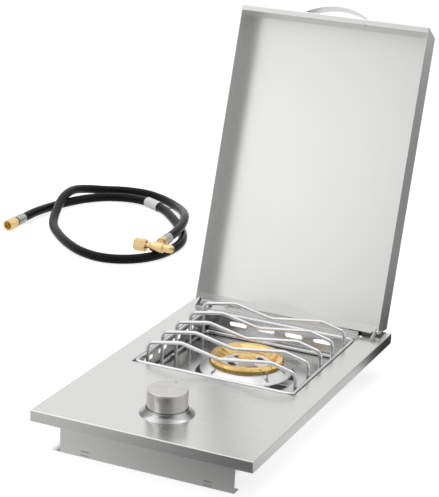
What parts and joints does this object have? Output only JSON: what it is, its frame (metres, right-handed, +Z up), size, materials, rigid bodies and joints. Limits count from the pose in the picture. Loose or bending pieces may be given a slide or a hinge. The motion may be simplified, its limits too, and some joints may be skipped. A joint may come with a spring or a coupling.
{
  "type": "built-in side burner",
  "caption": "Drop-in gas side burner with a sunken burner well, wire grate, brass burner, push-and-turn knob, hinged lid and gas hose.",
  "frame": {"origin": "middle of the counter's cut-out, at the counter's top face", "axes": "+Z up, the knob towards -Y, the lid's hinge towards +Y, the gas inlet leaves towards -X"},
  "size_m": [0.8733, 1.167, 0.5338],
  "materials": {
    "brushed": "brushed stainless",
    "bright": "bright stainless",
    "zinc": "zinc plated, dull",
    "aluminium": "as cast, fine",
    "brass": "turned",
    "rubber": "matt",
    "plastic": "matt",
    "ceramic": "glazed ceramic",
    "label": "matt, blank"
  },
  "bodies": {
    "burner": {"top_plate": "brushed", "front_apron": "brushed", "hinge_rail": "brushed", "hinge_bracket_left": "brushed", "hinge_bracket_right": "brushed", "burner_well": "bright", "knob_bezel": "bright", "hinge_pin_left": "bright", "hinge_pin_right": "bright", "hinge_rivet_left": "bright", "hinge_rivet_right": "bright", "stem_spring": "zinc", "valve_bracket": "zinc", "venturi_tube": "zinc", "venturi_hanger": "zinc", "burner_bracket": "zinc", "base_screw_1": "zinc", "base_screw_2": "zinc", "base_screw_3": "zinc", "electrode_rod": "zinc", "hose_ferrule_left": "zinc", "hose_ferrule_right": "zinc", "gas_valve": "aluminium", "burner_base": "aluminium", "burner_deck": "aluminium", "valve_nut": "brass", "gas_inlet": "brass", "orifice_jet": "brass", "hose_nipple": "brass", "tee_fitting": "brass", "gas_hose": "rubber", "igniter_wire": "rubber", "lid_stop_left": "rubber", "lid_stop_right": "rubber", "igniter_box": "plastic", "electrode_ceramic": "ceramic", "hose_label": "label"},
    "lid": {"lid_panel": "brushed", "lid_handle": "bright", "handle_rivet_left": "brushed", "handle_rivet_right": "brushed"},
    "grate": {"grate_wire_1": "bright", "grate_wire_2": "bright", "grate_wire_3": "bright", "grate_wire_4": "bright", "grate_wire_5": "bright", "grate_frame_top": "bright", "grate_frame_bottom": "bright"},
    "ring": {"burner_ring": "brass"},
    "cap": {"burner_cap": "brass"},
    "stem_follower": {"stem_washer": "zinc"},
    "knob": {"control_knob": "brushed", "knob_bush": "plastic", "valve_stem": "brass"},
    "shutter": {"air_shutter": "brushed"},
    "hose_swivel": {"hose_nut": "brass"},
    "tee_swivel": {"tee_nut": "brass"}
  },
  "joints": [
    {"name": "lid_hinge", "type": "hinge", "parent": "burner", "child": "lid", "pos_m": [0, 0.23752, 0.02495], "axis": [-1, 0, 0], "range_deg": [-106.6, 0]},
    {"name": "grate_lift", "type": "slide", "parent": "burner", "child": "grate", "axis": [0, 0, 1], "range_m": [0, 0.07]},
    {"name": "ring_lift", "type": "slide", "parent": "burner", "child": "ring", "axis": [0, 0, 1], "range_m": [0, 0.02]},
    {"name": "cap_lift", "type": "slide", "parent": "burner", "child": "cap", "axis": [0, 0, 1], "range_m": [0, 0.02]},
    {"name": "knob_push", "type": "slide", "parent": "burner", "child": "stem_follower", "axis": [0, 0, -1], "range_m": [0, 0.0035], "stiffness_N_per_m": 1500, "springref_m": -0.002, "deforming": ["stem_spring"]},
    {"name": "knob_turn", "type": "hinge", "parent": "stem_follower", "child": "knob", "pos_m": [0, -0.181, 0.02], "axis": [0, 0, 1], "range_deg": [0, 180]},
    {"name": "shutter_turn", "type": "hinge", "parent": "burner", "child": "shutter", "pos_m": [0, -0.142, -0.0338], "axis": [0, 1, 0], "range_deg": [0, 60]},
    {"name": "hose_nut_spin", "type": "hinge", "parent": "burner", "child": "hose_swivel", "pos_m": [-0.698, 0.566, -0.0337], "axis": [0, -1, 0], "continuous": true},
    {"name": "tee_nut_spin", "type": "hinge", "parent": "burner", "child": "tee_swivel", "pos_m": [-0.38184, 0.54831, -0.0192], "axis": [-0.9951, -0.0993, 0], "continuous": true}
  ]
}
